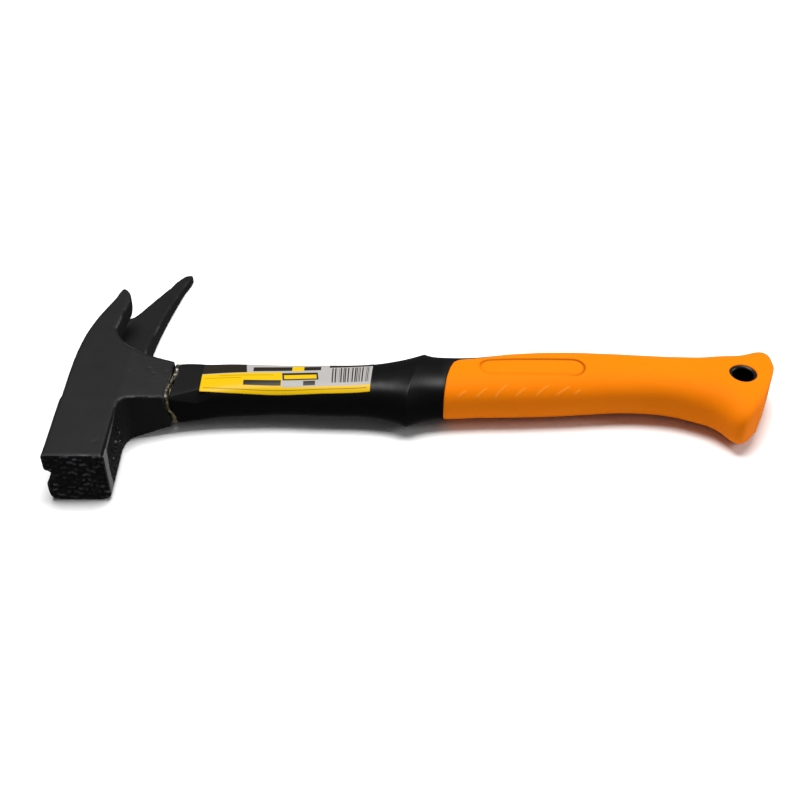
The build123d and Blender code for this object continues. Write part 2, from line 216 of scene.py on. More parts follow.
def skin(s, turn, inset=0.0, scale=1.0):
    """Point on the handle: its radius is (|cos/a|^n + |sin/b|^n)^(-1/n), and its row leans.

    Towards the butt each row also bulges, by the cubic (1 - t^2)(1 + 0.9 t) of t = depth / a.
    An inset makes the row smaller all round by that much, and a scale shrinks it about its middle.
    """
    s, turn, inset = np.broadcast_arrays(s, turn, inset)
    centre, a, b, n, lean = np.moveaxis(sizes_at(s), -1, 0)
    full_a, a, b, lean = a, a - inset, b - inset, np.radians(lean)
    radius = scale * (abs(np.cos(turn) / a) ** n + abs(np.sin(turn) / b) ** n) ** (-1 / n)
    depth, height = radius * np.cos(turn), radius * np.sin(turn)
    share = depth / full_a
    bulge = END_BULGE * smoothstep(BULGE_START, BUTT, s) * (1 - share**2) * (1 + BULGE_SKEW * share)
    x = s + bulge + depth * np.sin(lean)
    return np.stack([x, centre + depth * np.cos(lean), MIDDLE + height], -1)


print("the butt's back corner is at", skin(BUTT, 0.0).round(1))

# %% [markdown]
# ## Where rubber meets plastic
# The grip starts at a curved edge, and along the back a tongue of the jacket runs on into it. The
# two could be cut apart with a Boolean, but then neither would have rows that follow the edge.
# Seen from above the edge is one line, so at each angle the seam is where the skin crosses it.
# That crossing is found by stepping half way towards it many times, for all angles at once.

# %% The seam
SEAM = 160.8
# each pair: how far behind SEAM the edge is, and at what y
SEAM_LINE = np.array([
    (-0.9, -40.0), (-0.9, -20.0), (-0.1, -8.0), (1.6, 2.0), (3.4, 9.0), (5.2, 13.6),
    (7.6, 15.8), (10.7, 16.7), (21.0, 18.7), (31.0, 22.0), (40.0, 24.0), (60.0, 27.0),
]) + [SEAM, 0]


def round_about(count, crowding):
    """Angles round the handle from the back, closer together on top by 1 / (1 - crowding)."""
    t = np.arange(count) / count
    return 2 * pi * t + crowding * np.cos(2 * pi * t) - crowding


def seam_at(turn):
    """Where the skin meets the seam line: s moves by half of how far it is off, 60 times."""
    s = np.full(turn.shape, SEAM + 5.0)
    for _ in range(60):
        x, y, _z = np.moveaxis(skin(s, turn), -1, 0)
        s = s + 0.5 * (np.interp(y, SEAM_LINE[:, 1], SEAM_LINE[:, 0]) - x)
    return s


around = round_about(208, 0.30)
seam = seam_at(around)
print("seam from", seam.min().round(1), "to", seam.max().round(1))

# %% [markdown]
# ## The soft grip
# The grip is a shell of rubber over the jacket. A Solidify modifier could give it its wall, but it
# would also thicken the lip and the butt. Instead one line of rows makes the whole shell: they
# start at the closed end of the inner wall, come forward to the seam, turn round a soft lip, follow
# the skin back to the butt, and roll over its rim to close it. The relief is pressed in by moving
# points towards the axis: a long shallow panel on the upper side, and a row of fine slanted
# strokes in front of it.

# %% Relief of the grip
GRIP_WALL = 2.4
PANEL_MIDDLE, PANEL_HALF, PANEL_RADIUS, PANEL_TILT = (202.8, 9.6), 18.9, 5.6, -0.025
PANEL_DEPTH, OUTLINE_DEPTH, STROKE_RISE, STROKE_WIDTH = 0.40, 0.35, 0.22, 0.28
# each row: the two ends of a stroke, x and y and then x and y
STROKES = np.array([
    (167.4, -6.2, 171.4, -4.1), (176.0, -6.0, 181.2, -3.0), (184.6, -5.9, 190.4, -1.6),
    (194.2, -5.5, 199.0, -2.9), (203.6, -5.1, 209.8, -1.6), (213.1, -4.7, 219.4, -2.0),
    (221.4, -4.0, 224.6, -2.6),
])


def panel_distance(x, y):
    """Distance outside the panel's outline, a stadium: a line thickened to a radius."""
    along = x - PANEL_MIDDLE[0]
    reach = np.clip(along, -PANEL_HALF, PANEL_HALF)
    return np.hypot(along - reach, y - PANEL_MIDDLE[1] - PANEL_TILT * along) - PANEL_RADIUS


def stroke_height(x, y):
    """Fine raised strokes: a bell across each short slanted line, tapering at its ends."""
    total = np.zeros(x.shape)
    for x0, y0, x1, y1 in STROKES:
        line = np.array([x1 - x0, y1 - y0])
        length = np.hypot(*line)
        along = ((x - x0) * line[0] + (y - y0) * line[1]) / length
        across = ((y - y0) * line[0] - (x - x0) * line[1]) / length
        ends = smoothstep(-0.5, 1, along) * smoothstep(-0.5, 1, length - along)
        total += bump_at(across, 0, STROKE_WIDTH) * ends
    return total


def upper_side(z):
    """1 on the handle's upper side, 0 below its middle."""
    return smoothstep(MIDDLE + 2, MIDDLE + 5, z)


def grip_relief(points):
    """How far in each point is pressed: panel, plus its outline, less the strokes, plus waves."""
    x, y, z = np.moveaxis(points, -1, 0)
    outside = panel_distance(x, y)
    panel = PANEL_DEPTH * smoothstep(0.3, -0.3, outside)
    panel += OUTLINE_DEPTH * bump_at(outside, -0.2, 0.45)
    drawn = upper_side(z) * (panel - STROKE_RISE * stroke_height(x, y))
    return drawn + 0.03 * waves(points, 16.0, 41)


print(len(STROKES), "strokes, and a panel", 2 * (PANEL_HALF + PANEL_RADIUS), "mm long")


# %% Rows of the grip
def towards_axis(points, s):
    """Unit vectors from each point to the handle's middle line, square to the handle."""
    centre = sizes_at(np.broadcast_to(s, points.shape[:-1]))[..., 0]
    inward = np.stack([0 * centre, centre - points[..., 1], MIDDLE - points[..., 2]], -1)
    return inward / np.linalg.norm(inward, axis=-1, keepdims=True)


def grip_rows():
    """Inner wall from its closed end to the seam, then lip, outer skin, rim and closed butt."""
    inner = np.linspace(0.955, 0.0, 24)[:-1, None]
    rows = list(skin(seam + inner * (BUTT - seam) + 0.1, around, GRIP_WALL))
    lip = [(0.10, GRIP_WALL), (0.0, 0.9), (0.05, 0.45), (0.22, 0.16), (0.5, 0.03)]
    rows += [skin(seam + ahead, around, inset) for ahead, inset in lip]
    share = [np.linspace(0.009, 0.48, 190), np.linspace(0.485, 0.93, 90), np.linspace(0.935, 1, 22)]
    s = seam + np.concatenate(share)[:, None] * (BUTT - seam)
    outer = skin(s, around)
    rows += list(outer + towards_axis(outer, s) * grip_relief(outer)[..., None])
    rim = [(0.15, 1, 0.14), (0.45, 1, 0.30), (0.9, 1, 0.40), (1.7, 1, 0.47), (2.2, 0.97, 0.49)]
    flat = [(2.2, scale, 0.5) for scale in (0.85, 0.7, 0.55, 0.4, 0.25, 0.1)]
    for inset, scale, out in rim + flat:
        rows.append(skin(BUTT, around, inset, scale) + [out, -0.4 * out, 0])
    return np.array(rows)


grip = tube("soft_grip", grip_rows())

# %% [markdown]
# ## A hole through the butt
# The hanging hole passes right through rubber and jacket. Rows that part round a hole are hard to
# lay, so a cylinder as wide as the eyelet is cut out with a Boolean modifier instead, and the
# result is taken as the new mesh, so nothing stays live. The grip's mesh is then final, and the
# places where the finish paints shade in the panel's groove and highlights on the strokes are kept
# on it for the finish to read.

# %% Cut and bake
def bake_modifiers(piece):
    """Takes the piece's mesh with its modifiers worked out, and clears them."""
    graph = bpy.context.evaluated_depsgraph_get()
    graph.update()
    mesh = bpy.data.meshes.new_from_object(piece.evaluated_get(graph))
    piece.modifiers.clear()
    piece.data = mesh
    return piece


HOLE = ((eyelet_low.x + eyelet_high.x) / 2 / MM, (eyelet_low.y + eyelet_high.y) / 2 / MM)
EYELET_RADIUS = (eyelet_high.x - eyelet_low.x) / 2 / MM
HOLE_TURN = 2 * pi * np.arange(96) / 96


def hole_ring(radius, z):
    """A circle round the hole's axis: centre + radius (cos t, sin t), at height z."""
    x, y = HOLE[0] + radius * np.cos(HOLE_TURN), HOLE[1] + radius * np.sin(HOLE_TURN)
    return np.stack([x, y, z + 0 * HOLE_TURN], -1)


def bore(piece):
    """Cuts the eyelet's seat through the piece with a cylinder that ends well outside it."""
    cutter = tube("cutter", np.stack([hole_ring(EYELET_RADIUS, z) for z in (-5.0, 35.0)]))
    cut = piece.modifiers.new("bore", "BOOLEAN")
    cut.operation, cut.object, cut.solver = "DIFFERENCE", cutter, "EXACT"
    bake_modifiers(piece)
    bpy.data.objects.remove(cutter)
    print(piece.name, "bored,", len(piece.data.polygons), "faces")


bore(grip)


# %% Where shade and highlights are painted on the grip
def read(items, name, width, kind=float):
    """One value of every item of a mesh, as rows of that width."""
    flat = np.empty(len(items) * width, kind)
    items.foreach_get(name, flat)
    return flat.reshape(-1, width)


def add_attribute(mesh, name, values):
    """Stores one number per point for the finish to read."""
    attribute = mesh.attributes.new(name, "FLOAT", "POINT")
    attribute.data.foreach_set("value", values.astype(np.float32))


x, y, z = read(grip.data.vertices, "co", 3).T / MM
# painted shade in the panel's groove, stronger along its back and butt end, which face away from
# the light
shaded_back_and_end = np.maximum(smoothstep(9.0, 14.0, y), smoothstep(218, 224, x))
painted_groove_shade = upper_side(z) * bump_at(panel_distance(x, y), -0.1, 0.55)
painted_groove_shade *= 0.35 + 0.65 * shaded_back_and_end
add_attribute(grip.data, "painted_groove_shade", painted_groove_shade)
# painted highlight along the raised strokes on the upper side
add_attribute(grip.data, "painted_stroke_highlight", upper_side(z) * stroke_height(x, y).clip(0, 1))
print("crease up to", painted_groove_shade.max().round(2))

# %% [markdown]
# ## The black jacket
# The jacket is the same skin in front of the seam, and a sleeve under the rubber behind it. A whole
# handle with the grip laid over it would lack the real one's step between the two. Near the head
# its upper front corner is planed off to a slanted facet, and a fine parting line shows where the
# two halves of the mould met.

# %% Rows of the jacket
FACET_POINT, FACET_NORMAL = np.array([37.0, -7.7, 20.6]), np.array([0.278, -0.756, 0.592])
FACET_DEEPEST, FACET_RETURN, FACET_LIMIT = 47.0, 0.45, 4
SLEEVE_INSET = GRIP_WALL + 0.05


def neck_facet(points):
    """How far points stand outside the facet's plane: (p - point) . normal, easing out again."""
    x, y, z = np.moveaxis(points, -1, 0)
    along = np.minimum(x, FACET_DEEPEST) - FACET_RETURN * np.maximum(x - FACET_DEEPEST, 0)
    depth = (np.stack([along, y, z], -1) - FACET_POINT) @ FACET_NORMAL
    return np.where((y < 3) & (z > 8), np.clip(depth, 0, FACET_LIMIT), 0.0)


def jacket_relief(points):
    """How far in points are pressed: by waves, less a raised parting line along the front."""
    _x, y, z = np.moveaxis(points, -1, 0)
    parting = -0.10 * bump_at(z, MIDDLE, 0.35) * (y < 0)
    return parting + 0.05 * waves(points, 13.0, 31) + 0.02 * waves(points, 5.0, 32)


def jacket_front():
    """The skin from the head to the guard, cut by the facet and pressed in by its relief."""
    s = [np.linspace(HANDLE_START + 0.4, 60, 60), np.linspace(60.6, GUARD - 8, 100)]
    s = np.concatenate([*s, np.linspace(GUARD - 7.5, GUARD, 24)])[:, None]
    plain = skin(s, around)
    cut = plain - neck_facet(plain)[..., None] * FACET_NORMAL * [0, 1, 1]
    return cut + towards_axis(plain, s) * jacket_relief(plain)[..., None]


JOINT_SLANT = 1.5


def slant_joint(points):
    """Moves points near the joint's upper front corner towards the head: a bell times two steps."""
    x, y, z = np.moveaxis(points, -1, 0)
    near = smoothstep(20, 33, x) * smoothstep(48, 37, x)
    corner = bump_at(y, -9, 11) * smoothstep(9, 17, z)
    return points - (JOINT_SLANT * near * corner)[..., None] * [1, 0, 0]


def jacket_rows():
    """Rows of the jacket: front end, skin to the guard and to the seam, the step, the sleeve."""
    front = jacket_front()
    centre = front[0].mean(0)
    closing = [(0.5, 0), (0.93, 0), (0.975, 0.1), (0.995, 0.3)]
    end = [centre + (front[0] - centre) * scale + [back - 0.4, 0, 0] for scale, back in closing]
    share = np.concatenate([np.linspace(0, 0.5, 26)[1:], np.linspace(0.52, 0.985, 24)])[:, None]
    behind_guard = skin(GUARD + share * (seam - GUARD), around)
    step_down = [(-0.10, 0.03), (-0.02, 0.2), (0.0, 0.6), (0.05, SLEEVE_INSET)]
    step = [skin(seam + ahead, around, inset) for ahead, inset in step_down]
    under = np.linspace(0.03, 0.96, 30)[:, None]
    sleeve = skin(seam + under * (BUTT - seam), around, SLEEVE_INSET)
    return slant_joint(np.array([*end, *front, *behind_guard, *step, *sleeve]))


jacket = tube("handle_jacket_skin", jacket_rows())
bore(jacket)

# %% [markdown]
# ## The forged head
# The head is one forging with everything blended: poll, neck, slot and tines. Its exact shape is
# already in the frame, but with knife-sharp edges. A Bevel modifier would round them all alike and
# trip over the small ones. Instead a copy is welded, rebuilt from small even cells, and relaxed:
# each point moves a little towards the mean of its neighbours, which rounds the edges as tumbling
# in grit does. How far a point moved says how exposed its edge is, and that is kept as an
# attribute, for the wear in the black coat.

# %% Weld and rebuild
HEAD_CELL, FACE_REST = 0.475, -52.5


def welded_copy(name, node):
    """A copy of a frame node's mesh as a new piece, with its doubled points merged."""
    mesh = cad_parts[node].data.copy()
    mesh.name = name
    piece = bpy.data.objects.new(name, mesh)
    bpy.context.scene.collection.objects.link(piece)
    piece.modifiers.new("weld", "WELD").merge_threshold = 2e-6
    return bake_modifiers(piece)


def cut_face_flat(piece):
    """Slices the sharp teeth off the copy and closes the cut, to raise new teeth from it."""
    work = bmesh.new()
    work.from_mesh(piece.data)
    plane = {"plane_co": (0, FACE_REST * MM, 0), "plane_no": (0, -1, 0), "clear_outer": True}
    cut = bmesh.ops.bisect_plane(work, geom=work.verts[:] + work.edges[:] + work.faces[:], **plane)
    rim = [part for part in cut["geom_cut"] if isinstance(part, bmesh.types.BMEdge)]
    bmesh.ops.contextual_create(work, geom=rim)
    work.to_mesh(piece.data)
    work.free()


head = welded_copy("forged_head", "hammer_head")
cut_face_flat(head)
rebuild = head.modifiers.new("rebuild", "REMESH")
rebuild.mode, rebuild.voxel_size, rebuild.adaptivity = "VOXEL", HEAD_CELL * MM, 0.0
bake_modifiers(head)
print("head rebuilt,", len(head.data.vertices), "points")

# %% Relax
RELAX_PASSES, RELAX_SHARE, SHORT_TINE_FLOOR = 12, 0.55, 14.0


def neighbour_mean(points, edges, weight):
    """Mean of each point's neighbours: their sum along the edges over their number."""
    total = np.zeros_like(points)
    for axis in range(3):
        total[:, axis] = np.bincount(edges[:, 0], points[edges[:, 1], axis], len(points))
        total[:, axis] += np.bincount(edges[:, 1], points[edges[:, 0], axis], len(points))
    return total / weight[:, None]


def move_head(points):
    """Puts an array of points, in millimetres, into the head's mesh, and returns its normals."""
    head.data.vertices.foreach_set("co", (points * MM).ravel())
    head.data.update()
    return read(head.data.vertex_normals, "vector", 3, np.float32)


def relax_head():
    """Moves points by a share towards their neighbours' mean, less at the face and the tips.

    Returns the points, and how far each one stood out from its neighbours along its normal.
    """
    edges = read(head.data.edges, "vertices", 2, int)
    sharp = read(head.data.vertices, "co", 3) / MM
    weight = np.bincount(edges.ravel(), minlength=len(sharp)).astype(float)
    points = sharp.copy()
    _x, y, z = sharp.T
    tips = np.maximum(smoothstep(96, 108, y), smoothstep(58, 67, y) * (z > SHORT_TINE_FLOOR))
    crisp = np.maximum(smoothstep(-49.5, -52.0, y) * 0.6, tips * 0.8)
    strength = (RELAX_SHARE * (1 - crisp))[:, None]
    for _ in range(RELAX_PASSES):
        points += strength * (neighbour_mean(points, edges, weight) - points)
    return points, ((sharp - points) * move_head(points)).sum(1) / (1 - 0.6 * crisp)


head_points, stood_out = relax_head()
print("edge wear from", stood_out.min().round(2), "to", stood_out.max().round(2), "mm")

# %% [markdown]
# ## Forging marks
# The striking face has rows of long teeth, milled a little on the slant. The panel sunk in the
# poll's handle side is rough as it left the die, inside a smooth border. The poll's upper edge on
# that side is ground to a narrow slanted flat, and the cheeks have a slight ripple and a few small
# pits. Bump in the finish could suggest all this, but not change the outline, so the marks are
# real heights along the head's own normals, and the flat is planed off.

# %% The face's teeth
POLL_HALF, POLL_TOP, CORNER = 13.7, 26.5, 4.0
ROW, TOOTH, GROOVE_Z, GROOVE_R = 2.95, 5.4, 14.0, 3.7


def inside_face(x, z):
    """Distance in from the face's outline: a box with rounded lower corners and the nail groove."""
    side, top = POLL_HALF - abs(x), POLL_TOP - z
    box = np.minimum(np.minimum(side, top), z)
    lower = (side < CORNER) & (z < CORNER)
    box = np.where(lower, CORNER - np.hypot(CORNER - side, CORNER - z), box)
    return np.minimum(box, np.hypot(x + POLL_HALF, z - GROOVE_Z) - GROOVE_R)


def tooth_height(x, z):
    """Staggered rows of long pyramids: the lower of a zigzag up the face and one across it."""
    z = z + 0.20 * x + 0.35 * np.sin(x * 0.9) + 0.25 * np.sin(x * 2.1 + 1.0)
    row = np.floor(z / ROW)
    up = 1 - abs(2 * (z / ROW - row) - 1)
    jitter = 0.18 * np.sin(row * 12.9)
    across = x / TOOTH + 0.5 * (row % 2) + jitter + 0.10 * (z / ROW - row)
    along = 1 - abs(2 * (across - np.floor(across)) - 1)
    return np.minimum(up * 1.25, along * 2.8).clip(0, 1)


def face_height(points):
    """Height of the milled face: teeth and waves inside the border, and a smooth rim outside it."""
    x, y, z = points.T
    border = smoothstep(0.7, 1.7, inside_face(x, z))
    drawn = np.stack([0.35 * x, y, z + 0.25 * x], -1)
    ragged = 0.14 * waves(drawn, 1.5, 7) + 0.05 * waves(points, 1.6, 8)
    teeth = border * (1.55 * tooth_height(x, z) - 0.60 + ragged) + (1 - border) * 0.55
    return np.clip(teeth, -0.7, 1.0)


print("the face has", round(POLL_TOP / ROW), "rows of teeth")

# %% The poll's panel and slanted edge
CHAMFER, CHAMFER_OUT = 1.5, np.array([0.7071, 0, 0.7071])
SUNK_FRONT, SUNK_BACK, SUNK_LOW, SUNK_HIGH = -47.4, -20.0, 3.2, 23.6


def poll_panel(points, normals):
    """1 inside the panel, 0 outside: a step at each edge, the one near the face a parabola."""
    _x, y, z = points.T
    inside = smoothstep(0.75, 0.9, normals[:, 0])
    front = y - SUNK_FRONT - 0.022 * (z - 13) ** 2
    for distance in (front, SUNK_BACK - y, z - SUNK_LOW, SUNK_HIGH - z):
        inside = inside * smoothstep(-0.5, 0.5, distance)
    return inside


def chamfer_depth(points):
    """How far points stand outside the slanted flat: (x + z - its offset) / sqrt 2."""
    x, y, z = points.T
    out = (x + z - (POLL_HALF + POLL_TOP - CHAMFER)) / np.sqrt(2)
    return np.maximum(out, 0) * smoothstep(-17, -24, y) * (x > 0)


edge_flat = chamfer_depth(head_points)
head_points -= edge_flat[:, None] * CHAMFER_OUT
head_normals = move_head(head_points)
panel_mask = poll_panel(head_points, head_normals)
print("the slanted edge takes off up to", edge_flat.max().round(2), "mm")

# %% Height of every mark
SUNK_DEPTH, PIT_DEPTH, SHOULDER = 0.85, 0.20, 2.6
# each row: x, y and size of a pit
PITS = ((23.5, 9.0, 0.9), (25.8, 5.8, 0.7), (31.4, 8.4, 0.6), (24.6, 7.2, 0.5), (8.0, -44.0, 0.9))


def bell(x, y, at_x, at_y, size):
    """A round bell of height 1: exp(-(distance / size)^2)."""
    return np.exp(-(((x - at_x) ** 2 + (y - at_y) ** 2) / size**2))


def forging_marks(points, normals):
    """Height along the normal: panel, ripple, fuller tips, a shoulder and pits, or the face."""
    x, y, z = points.T
    rough = 0.55 * waves(points, 2.6, 3) + 0.22 * waves(points, 1.4, 4)
    height = panel_mask * (rough - SUNK_DEPTH)
    height += 0.02 * waves(points, 11.0, 5) + 0.008 * waves(points, 3.5, 6)
    height += (0.45 + 0.6 * abs(normals[:, 0])) * smoothstep(101, 112, y)
    height += 0.5 * smoothstep(62, 69, y) * (z > SHORT_TINE_FLOOR)
    crown_side = smoothstep(0.1, 0.6, -normals[:, 0]) * (z < SHORT_TINE_FLOOR)
    height += SHOULDER * bell(x, y, 2.0, 67.5, 4.6) * crown_side
    for at_x, at_y, size in PITS:
        height -= PIT_DEPTH * bell(x, y, at_x, at_y, size) * (z > MIDDLE)
    front = smoothstep(0.6, 0.85, -normals[:, 1]) * (y < -51.0)
    return height * (1 - front) + front * face_height(points)


marks = forging_marks(head_points, head_normals)
head_points = slant_joint(head_points + head_normals * marks[:, None])
low, high = np.array(head_low) / MM, np.array(head_high) / MM
move_head(np.clip(head_points, low, high))
head.data.shade_smooth()
print("marks from", marks.min().round(2), "to", marks.max().round(2), "mm")

# %% Marks for the finish
x, y, z = head_points.T
# painted glints: the crests of the face's teeth get a lighter colour in the finish
painted_tooth_glint = smoothstep(0.72, 0.95, tooth_height(x, z)) * smoothstep(-52.2, -53.0, y)
band = smoothstep(0.75, 0.85, head_normals[:, 0]) * smoothstep(-46.6, -47.8, y)
# a thin painted highlight along the poll's handle side above its panel, fading away from the face
edge_highlight = smoothstep(0.80, 0.90, head_normals[:, 0]) * smoothstep(23.6, 24.0, z)
milled = smoothstep(-51.2, -51.8, y) * smoothstep(0.3, 1.0, inside_face(x, z))
for name, values in (
    ("edge_wear", np.clip(stood_out / 0.28, 0, 1) * (edge_flat < 0.05)),
    ("painted_tooth_glint", painted_tooth_glint),
    ("ground_band_and_highlight", np.maximum(band, 0.35 * edge_highlight * smoothstep(-20, -44, y))),
    # glossier in the finish, where painted shade also darkens the face, the panel and the slanted
    # edge
    ("milled", np.maximum.reduce([milled, 0.8 * panel_mask, smoothstep(0.05, 0.25, edge_flat)])),
):
    add_attribute(head.data, name, values)
    print(name, "covers", round(100 * values.mean(), 1), "% of the head's points")

# %% [markdown]
# ## The squeezed-out resin
# When the head was bonded, resin oozed from the joint and set in a ragged bead. A bevelled curve
# would give an even ring, so it is a rounded profile carried round the neck's end in numpy, with a
# height and width that wander from lump to lump, and the same slant as the joint.

# %% The resin bead
BEAD_AT, BEAD_CENTRE_Y, BEAD_HALF, BEAD_PROUD = 35.0, 4.1, 0.85, 0.42
NECK_A, NECK_B, NECK_N = 12.9, 8.6, 7
# each pair: how far across the bead, and how far it rises there
BEAD_PROFILE = (
    (-1.0, -2.2), (-1.0, -0.5), (-0.8, 0.45), (-0.35, 0.9), (0.1, 1.0),
    (0.5, 0.8), (0.85, 0.35), (1.0, -0.5), (1.0, -2.2),
)


def bead_rows(count=420):
    """Rows of the bead: its profile carried round the superellipse |y/a|^n + |z/b|^n = 1."""
    t = 2 * pi * np.arange(count) / count
    terms = abs(np.cos(t) / NECK_A) ** NECK_N + abs(np.sin(t) / NECK_B) ** NECK_N
    radius = terms ** (-1 / NECK_N)
    depth, height = radius * np.cos(t), radius * np.sin(t)
    ring = np.stack([0 * t, depth, height], -1)
    lumps = 0.5 * waves(ring, 5.0, 21) + 0.35 * waves(ring, 2.0, 22)
    gap = smoothstep(0.9, 1.3, waves(ring, 7.0, 23))
    proud = np.clip(BEAD_PROUD + 0.30 * lumps, 0.0, 0.95) * (1 - 0.8 * gap)
    upper_front = bump_at(depth, -8, 7) * (height > 0)
    lower_front = bump_at(height, -8, 8) * (depth < 0)
    centre_x = BEAD_AT + 0.5 * (depth > 0) - 0.9 * upper_front + 0.9 * lower_front
    centre_x += 0.3 * waves(ring, 8.0, 24)
    half = BEAD_HALF + 0.35 * waves(ring, 4.0, 25)
    rows = []
    for across, rise in BEAD_PROFILE:
        chip = 0.012 * waves(ring + [across * 3, 0, 0], 1.3, 26) * (rise > 0)
        reach = 1 + np.where(rise > 0, rise * proud, rise) / radius + chip
        y, z = BEAD_CENTRE_Y + depth * reach, MIDDLE + height * reach
        rows.append(np.stack([centre_x + across * half, y, z], -1))
    return slant_joint(np.array(rows))


bead = tube("resin_bead", bead_rows(), fans=False)

# %% [markdown]
# ## The label
# The label is a film stuck over the upper side of the jacket. A flat sheet could be shrink-wrapped
# on to it, but its edges would wander. Here its two parameters are length along the handle and
# distance across, and it follows the skin a little proud of it. The same two parameters become its
# UV map, so the printed blocks line up with its edges.

# %% The label sheet
LABEL_START, LABEL_END, LABEL_FRONT_Y, LABEL_BACK_Y = 48.1, 127.6, -4.3, 14.2
LABEL_FLARE, LABEL_PROUD, LABEL_SUNK = 1.9, 0.26, 0.05


def angle_where(s, y_wanted):
    """Angle on the upper side where the skin has that y, by halving an interval 40 times."""
    low, high = np.full(s.shape, 0.02), np.full(s.shape, pi - 0.02)
    for _ in range(40):
        middle = (low + high) / 2
        further_back = skin(s, middle)[..., 1] > y_wanted
        low, high = np.where(further_back, middle, low), np.where(further_back, high, middle)
    return (low + high) / 2


def label_sheet():
    """Film on a grid, along s and across from front to back edge: its upper and lower sides."""
    u, v = np.linspace(0, 1, 240), np.linspace(0, 1, 60)
    s = LABEL_START + u * (LABEL_END - LABEL_START)
    front = angle_where(s, LABEL_FRONT_Y)
    back = angle_where(s, LABEL_BACK_Y + LABEL_FLARE * u**2)
    turn = front[:, None] + v * (back - front)[:, None]
    return u, v, skin(s[:, None], turn, -LABEL_PROUD), skin(s[:, None], turn, LABEL_SUNK)


def label_mesh():
    """One closed sheet: upper grid, lower grid and the rim between them, with a UV map."""
    u, v, top, under = label_sheet()
    n, m = len(u), len(v)
    index = np.arange(n * m).reshape(n, m)
    a, b, c, d = index[:-1, :-1], index[1:, :-1], index[1:, 1:], index[:-1, 1:]
    upper = np.stack([a, d, c, b], -1).reshape(-1, 4)
    lower = upper[:, ::-1] + n * m
    rim = np.concatenate([index[0, :], index[1:, -1], index[-1, -2::-1], index[-2:0:-1, 0]])
    after = np.roll(rim, -1)
    sides = np.stack([rim, rim + n * m, after + n * m, after], -1)
    faces = np.vstack([upper, lower, sides])
    points = np.vstack([top.reshape(-1, 3), under.reshape(-1, 3)])
    piece = new_piece("label_film", points, faces.tolist())
    uv = np.stack(np.meshgrid(u, v, indexing="ij"), -1).reshape(-1, 2)
    corner = read(piece.data.loops, "vertex_index", 1, int)[:, 0]
    layer = piece.data.uv_layers.new(name="print")
    layer.data.foreach_set("uv", uv[corner % (n * m)].astype(np.float32).ravel())
    print("label_film", len(faces), "faces")
    return piece


label = label_mesh()

# %% [markdown]
# ## The eyelet
# A black plastic eyelet lines the hanging hole. It is a turned shape, which a Screw modifier could
# make too: one profile, carried round the hole's axis, with a flat rim and a bevel that leads into
# the bore. The butt is nearly level there, so the rim is level too, and stands a little proud of
# the rubber all round.

# %% The eyelet ring
HOLE_RADIUS = 4.8


def eyelet_rows():
    """Rows of the eyelet: circles for bore, bevel, rim and outer wall, top and bottom alike."""
    half = (eyelet_high.z - eyelet_low.z) / 2 / MM
    bevel = [(0.0, 1.0), (0.12, 0.62), (0.6, 0.34), (1.0, 0.10)]
    rim = [(0.30, 0.0), (0.08, 0.12), (0.02, 0.6)]
    upper = [(HOLE_RADIUS + out, down) for out, down in bevel]
    upper += [(EYELET_RADIUS - back, down) for back, down in rim]
    top = [hole_ring(radius, MIDDLE + (half - down)) for radius, down in upper]
    bottom = [hole_ring(radius, MIDDLE - (half - down)) for radius, down in upper[::-1]]
    return np.array(top + bottom)


eyelet = tube("eyelet_ring", eyelet_rows(), fans=False)

# %% [markdown]
# ## Finishes as expressions
# A finish is a small network of nodes. It could be drawn by hand in the shader editor, but written
# as sums it is easy to read, so a tiny class wraps a socket and turns each operator into a Math
# node. Every other node comes from one method that is given the node's type, its settings and what
# goes into its sockets.

# %% Sockets that add and multiply
class Wire:
    """A node's output socket. Its operators add Math nodes and give a new Wire."""

    def __init__(self, finish, socket):
        self.finish, self.socket = finish, socket

    def math(self, operation, first, second):
        sides = {0: first, 1: second}
        return self.finish.node("ShaderNodeMath", {"operation": operation}, sides)["Value"]

    def __add__(self, other):
        return self.math("ADD", self, other)

    def __sub__(self, other):
        return self.math("SUBTRACT", self, other)

    def __rsub__(self, other):
        return self.math("SUBTRACT", other, self)

    def __mul__(self, other):
        return self.math("MULTIPLY", self, other)

    __radd__, __rmul__ = __add__, __mul__

    def ramp(self, low, high):
        """0 below low, 1 above high, straight between them."""
        sockets = {"Value": self, "From Min": low, "From Max": high}
        return self.finish.node("ShaderNodeMapRange", {}, sockets)["Result"]

    def between(self, low, high, soft=0.002):
        """1 between low and high, 0 outside."""
        return self.ramp(low - soft, low + soft) * (1 - self.ramp(high - soft, high + soft))


